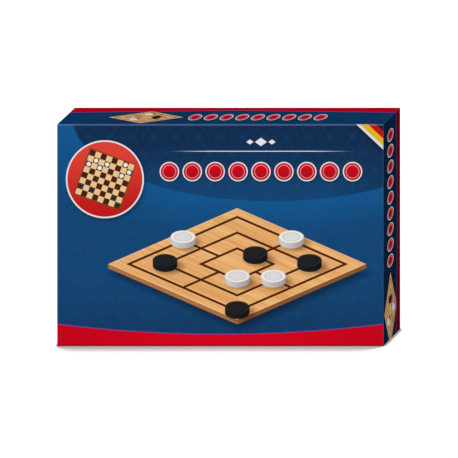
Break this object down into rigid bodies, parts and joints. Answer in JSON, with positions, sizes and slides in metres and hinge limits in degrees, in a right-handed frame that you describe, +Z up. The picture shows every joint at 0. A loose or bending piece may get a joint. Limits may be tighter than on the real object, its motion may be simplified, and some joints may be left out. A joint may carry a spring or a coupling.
{
  "type": "board game box",
  "caption": "Closed cardboard game box with a lift-off lid, standing on its long side, holding foam inserts, a folding morris and draughts board, a leaflet and wooden discs.",
  "frame": {"origin": "middle of the closed box's underside as it stands on its long side", "axes": "+X along the long side to the right as seen from the lid, +Y from the lid to the tray's back, +Z up"},
  "size_m": [0.385, 0.042, 0.262],
  "materials": {
    "grey_board": "matte",
    "lid_print": "satin",
    "tray_print": "satin",
    "stay_paper": "matte",
    "insert_foam": "matte",
    "morris_print": "satin",
    "draughts_print": "satin",
    "hinge_linen": "matte",
    "leaflet_paper": "matte",
    "white_paint": "satin",
    "black_paint": "satin"
  },
  "bodies": {
    "tray": {"tray_board": "grey_board", "tray_wrap": "tray_print", "tray_stay_lower_left": "stay_paper", "tray_stay_lower_right": "stay_paper", "tray_stay_upper_left": "stay_paper", "tray_stay_upper_right": "stay_paper", "board_insert": "insert_foam", "white_disc_insert": "insert_foam", "black_disc_insert": "insert_foam"},
    "lid": {"lid_board": "grey_board", "lid_wrap": "lid_print", "lid_stay_lower_left": "stay_paper", "lid_stay_lower_right": "stay_paper", "lid_stay_upper_left": "stay_paper", "lid_stay_upper_right": "stay_paper"},
    "board_rear": {"board_rear_core": "grey_board", "board_rear_morris_sheet": "morris_print", "board_rear_draughts_sheet": "draughts_print", "board_hinge_tape": "hinge_linen"},
    "board_front": {"board_front_core": "grey_board", "board_front_morris_sheet": "morris_print", "board_front_draughts_sheet": "draughts_print"},
    "leaflet": {"rules_leaflet": "leaflet_paper"},
    "white_disc_01": {"white_disc_01": "white_paint"},
    "white_disc_02": {"white_disc_02": "white_paint"},
    "white_disc_03": {"white_disc_03": "white_paint"},
    "white_disc_04": {"white_disc_04": "white_paint"},
    "white_disc_05": {"white_disc_05": "white_paint"},
    "white_disc_06": {"white_disc_06": "white_paint"},
    "white_disc_07": {"white_disc_07": "white_paint"},
    "white_disc_08": {"white_disc_08": "white_paint"},
    "white_disc_09": {"white_disc_09": "white_paint"},
    "white_disc_10": {"white_disc_10": "white_paint"},
    "white_disc_11": {"white_disc_11": "white_paint"},
    "white_disc_12": {"white_disc_12": "white_paint"},
    "black_disc_01": {"black_disc_01": "black_paint"},
    "black_disc_02": {"black_disc_02": "black_paint"},
    "black_disc_03": {"black_disc_03": "black_paint"},
    "black_disc_04": {"black_disc_04": "black_paint"},
    "black_disc_05": {"black_disc_05": "black_paint"},
    "black_disc_06": {"black_disc_06": "black_paint"},
    "black_disc_07": {"black_disc_07": "black_paint"},
    "black_disc_08": {"black_disc_08": "black_paint"},
    "black_disc_09": {"black_disc_09": "black_paint"},
    "black_disc_10": {"black_disc_10": "black_paint"},
    "black_disc_11": {"black_disc_11": "black_paint"},
    "black_disc_12": {"black_disc_12": "black_paint"}
  },
  "joints": [
    {"name": "lid_pull", "type": "slide", "parent": "tray", "child": "lid", "axis": [0, -1, 0], "range_m": [0, 0.6]},
    {"name": "board_pull", "type": "slide", "parent": "tray", "child": "board_rear", "axis": [0, -1, 0], "range_m": [0, 0.06]},
    {"name": "board_unfold", "type": "hinge", "parent": "board_rear", "child": "board_front", "pos_m": [0, -0.0142, 0.2341], "axis": [-1, 0, 0], "range_deg": [0, 180], "deforming": ["board_hinge_tape"]},
    {"name": "leaflet_pull", "type": "slide", "parent": "tray", "child": "leaflet", "axis": [0, -1, 0], "range_m": [0, 0.03]},
    {"name": "white_disc_01_pull", "type": "slide", "parent": "tray", "child": "white_disc_01", "axis": [0, -1, 0], "range_m": [0, 0.048]},
    {"name": "white_disc_02_pull", "type": "slide", "parent": "tray", "child": "white_disc_02", "axis": [0, -1, 0], "range_m": [0, 0.06]},
    {"name": "white_disc_03_pull", "type": "slide", "parent": "tray", "child": "white_disc_03", "axis": [0, -1, 0], "range_m": [0, 0.072]},
    {"name": "white_disc_04_pull", "type": "slide", "parent": "tray", "child": "white_disc_04", "axis": [0, -1, 0], "range_m": [0, 0.084]},
    {"name": "white_disc_05_pull", "type": "slide", "parent": "tray", "child": "white_disc_05", "axis": [0, -1, 0], "range_m": [0, 0.048]},
    {"name": "white_disc_06_pull", "type": "slide", "parent": "tray", "child": "white_disc_06", "axis": [0, -1, 0], "range_m": [0, 0.06]},
    {"name": "white_disc_07_pull", "type": "slide", "parent": "tray", "child": "white_disc_07", "axis": [0, -1, 0], "range_m": [0, 0.072]},
    {"name": "white_disc_08_pull", "type": "slide", "parent": "tray", "child": "white_disc_08", "axis": [0, -1, 0], "range_m": [0, 0.084]},
    {"name": "white_disc_09_pull", "type": "slide", "parent": "tray", "child": "white_disc_09", "axis": [0, -1, 0], "range_m": [0, 0.048]},
    {"name": "white_disc_10_pull", "type": "slide", "parent": "tray", "child": "white_disc_10", "axis": [0, -1, 0], "range_m": [0, 0.06]},
    {"name": "white_disc_11_pull", "type": "slide", "parent": "tray", "child": "white_disc_11", "axis": [0, -1, 0], "range_m": [0, 0.072]},
    {"name": "white_disc_12_pull", "type": "slide", "parent": "tray", "child": "white_disc_12", "axis": [0, -1, 0], "range_m": [0, 0.084]},
    {"name": "black_disc_01_pull", "type": "slide", "parent": "tray", "child": "black_disc_01", "axis": [0, -1, 0], "range_m": [0, 0.048]},
    {"name": "black_disc_02_pull", "type": "slide", "parent": "tray", "child": "black_disc_02", "axis": [0, -1, 0], "range_m": [0, 0.06]},
    {"name": "black_disc_03_pull", "type": "slide", "parent": "tray", "child": "black_disc_03", "axis": [0, -1, 0], "range_m": [0, 0.072]},
    {"name": "black_disc_04_pull", "type": "slide", "parent": "tray", "child": "black_disc_04", "axis": [0, -1, 0], "range_m": [0, 0.084]},
    {"name": "black_disc_05_pull", "type": "slide", "parent": "tray", "child": "black_disc_05", "axis": [0, -1, 0], "range_m": [0, 0.048]},
    {"name": "black_disc_06_pull", "type": "slide", "parent": "tray", "child": "black_disc_06", "axis": [0, -1, 0], "range_m": [0, 0.06]},
    {"name": "black_disc_07_pull", "type": "slide", "parent": "tray", "child": "black_disc_07", "axis": [0, -1, 0], "range_m": [0, 0.072]},
    {"name": "black_disc_08_pull", "type": "slide", "parent": "tray", "child": "black_disc_08", "axis": [0, -1, 0], "range_m": [0, 0.084]},
    {"name": "black_disc_09_pull", "type": "slide", "parent": "tray", "child": "black_disc_09", "axis": [0, -1, 0], "range_m": [0, 0.048]},
    {"name": "black_disc_10_pull", "type": "slide", "parent": "tray", "child": "black_disc_10", "axis": [0, -1, 0], "range_m": [0, 0.06]},
    {"name": "black_disc_11_pull", "type": "slide", "parent": "tray", "child": "black_disc_11", "axis": [0, -1, 0], "range_m": [0, 0.072]},
    {"name": "black_disc_12_pull", "type": "slide", "parent": "tray", "child": "black_disc_12", "axis": [0, -1, 0], "range_m": [0, 0.084]}
  ],
  "couplings": [
    {"joint": "board_pull", "follows": "lid_pull", "ratio": 0.1},
    {"joint": "board_unfold", "follows": "lid_pull", "rad_per_m": 5.2359},
    {"joint": "leaflet_pull", "follows": "lid_pull", "ratio": 0.05},
    {"joint": "white_disc_01_pull", "follows": "lid_pull", "ratio": 0.08},
    {"joint": "white_disc_02_pull", "follows": "lid_pull", "ratio": 0.1},
    {"joint": "white_disc_03_pull", "follows": "lid_pull", "ratio": 0.12},
    {"joint": "white_disc_04_pull", "follows": "lid_pull", "ratio": 0.14},
    {"joint": "white_disc_05_pull", "follows": "lid_pull", "ratio": 0.08},
    {"joint": "white_disc_06_pull", "follows": "lid_pull", "ratio": 0.1},
    {"joint": "white_disc_07_pull", "follows": "lid_pull", "ratio": 0.12},
    {"joint": "white_disc_08_pull", "follows": "lid_pull", "ratio": 0.14},
    {"joint": "white_disc_09_pull", "follows": "lid_pull", "ratio": 0.08},
    {"joint": "white_disc_10_pull", "follows": "lid_pull", "ratio": 0.1},
    {"joint": "white_disc_11_pull", "follows": "lid_pull", "ratio": 0.12},
    {"joint": "white_disc_12_pull", "follows": "lid_pull", "ratio": 0.14},
    {"joint": "black_disc_01_pull", "follows": "lid_pull", "ratio": 0.08},
    {"joint": "black_disc_02_pull", "follows": "lid_pull", "ratio": 0.1},
    {"joint": "black_disc_03_pull", "follows": "lid_pull", "ratio": 0.12},
    {"joint": "black_disc_04_pull", "follows": "lid_pull", "ratio": 0.14},
    {"joint": "black_disc_05_pull", "follows": "lid_pull", "ratio": 0.08},
    {"joint": "black_disc_06_pull", "follows": "lid_pull", "ratio": 0.1},
    {"joint": "black_disc_07_pull", "follows": "lid_pull", "ratio": 0.12},
    {"joint": "black_disc_08_pull", "follows": "lid_pull", "ratio": 0.14},
    {"joint": "black_disc_09_pull", "follows": "lid_pull", "ratio": 0.08},
    {"joint": "black_disc_10_pull", "follows": "lid_pull", "ratio": 0.1},
    {"joint": "black_disc_11_pull", "follows": "lid_pull", "ratio": 0.12},
    {"joint": "black_disc_12_pull", "follows": "lid_pull", "ratio": 0.14}
  ]
}
